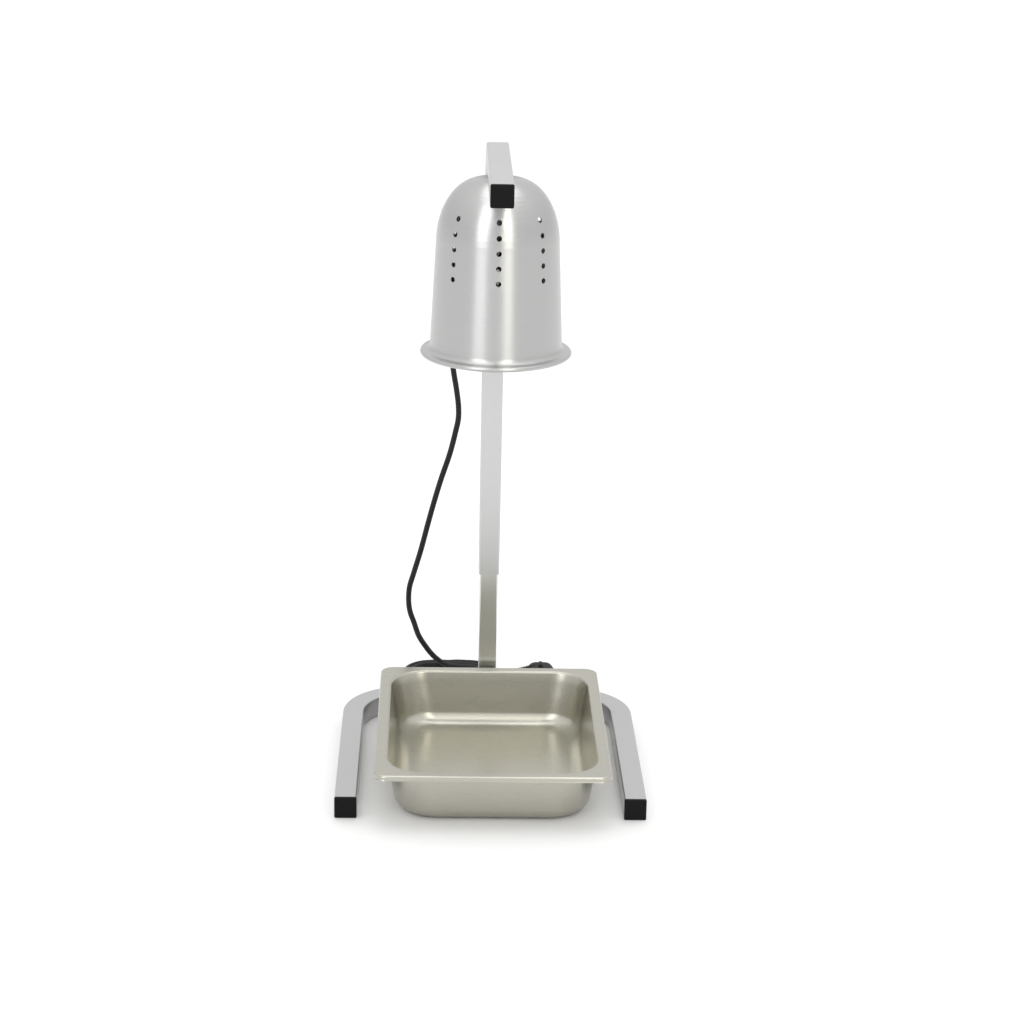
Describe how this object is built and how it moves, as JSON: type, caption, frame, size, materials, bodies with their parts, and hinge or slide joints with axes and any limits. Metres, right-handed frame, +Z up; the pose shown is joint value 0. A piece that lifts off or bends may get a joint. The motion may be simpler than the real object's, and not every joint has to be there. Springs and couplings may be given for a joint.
{
  "type": "heat lamp warmer",
  "caption": "Counter-top heat lamp: vented bell shade on an adjustable square mast and arm, over a U-shaped base holding a shallow steel food pan.",
  "frame": {"origin": "on the table, at the centre of the object without its cord: the middle of the base's width and depth", "axes": "+X to the right seen from the front, +Y to the back where the mast stands, +Z up"},
  "size_m": [0.35, 0.4955, 0.718],
  "materials": {
    "base_tube": "satin anodised, darker silver grey",
    "arm_tube": "satin anodised, light silver grey",
    "post_steel": "fine satin brushed lengthways",
    "pan_steel": "satin stainless, drawn sheet",
    "spun_aluminium": "spun and brushed round the axis",
    "black_plastic": "fine moulded grain",
    "zinc_steel": "bright zinc plate",
    "brass_parts": "plain",
    "white_ceramic": "glazed",
    "bulb_glass": "hard glass, red tinted reflector",
    "filament_wire": "plain wire",
    "cord_rubber": "satin black sheath",
    "plug_rubber": "moulded black",
    "plug_metal": "nickel plated"
  },
  "bodies": {
    "base": {"base_frame": "base_tube", "base_cap_left": "black_plastic", "base_cap_right": "black_plastic", "post": "post_steel", "post_anchor": "zinc_steel", "post_bolt": "zinc_steel", "post_washer": "zinc_steel", "post_guide": "black_plastic", "cord_drop": "cord_rubber", "cord_hank": "cord_rubber", "cord_tie": "black_plastic", "cord_tail": "cord_rubber", "plug_body": "plug_rubber", "plug_pins": "plug_metal"},
    "lamp": {"lamp_tube": "arm_tube", "arm_cap": "black_plastic", "clamp_boss": "zinc_steel", "shade": "spun_aluminium", "nipple": "zinc_steel", "nipple_nuts": "zinc_steel", "lock_washers": "zinc_steel", "earth_tag": "brass_parts", "holder_cap": "zinc_steel", "holder_body": "white_ceramic", "holder_shell": "brass_parts", "holder_contact": "brass_parts", "cord_gland": "black_plastic", "gland_nut": "black_plastic", "inner_lead": "cord_rubber"},
    "clamp_screw": {"clamp_stud": "zinc_steel", "clamp_knob": "black_plastic"},
    "bulb": {"bulb_cap": "zinc_steel", "bulb_glass": "bulb_glass", "bulb_filament": "filament_wire"},
    "pan": {"pan": "pan_steel"}
  },
  "joints": [
    {"name": "mast_slide", "type": "slide", "parent": "base", "child": "lamp", "axis": [0, 0, 1], "range_m": [-0.155, 0.145], "deforming": ["cord_drop"]},
    {"name": "clamp_turn", "type": "hinge", "parent": "lamp", "child": "clamp_screw", "pos_m": [0, 0.18, 0.205], "axis": [0, 1, 0], "range_deg": [0, 720]},
    {"name": "bulb_turn", "type": "hinge", "parent": "lamp", "child": "bulb", "pos_m": [0, 0, 0.6], "axis": [0, 0, -1], "range_deg": [0, 1080]},
    {"name": "pan_lift", "type": "slide", "parent": "base", "child": "pan", "axis": [0, 0, 1], "range_m": [0, 0.2]}
  ]
}
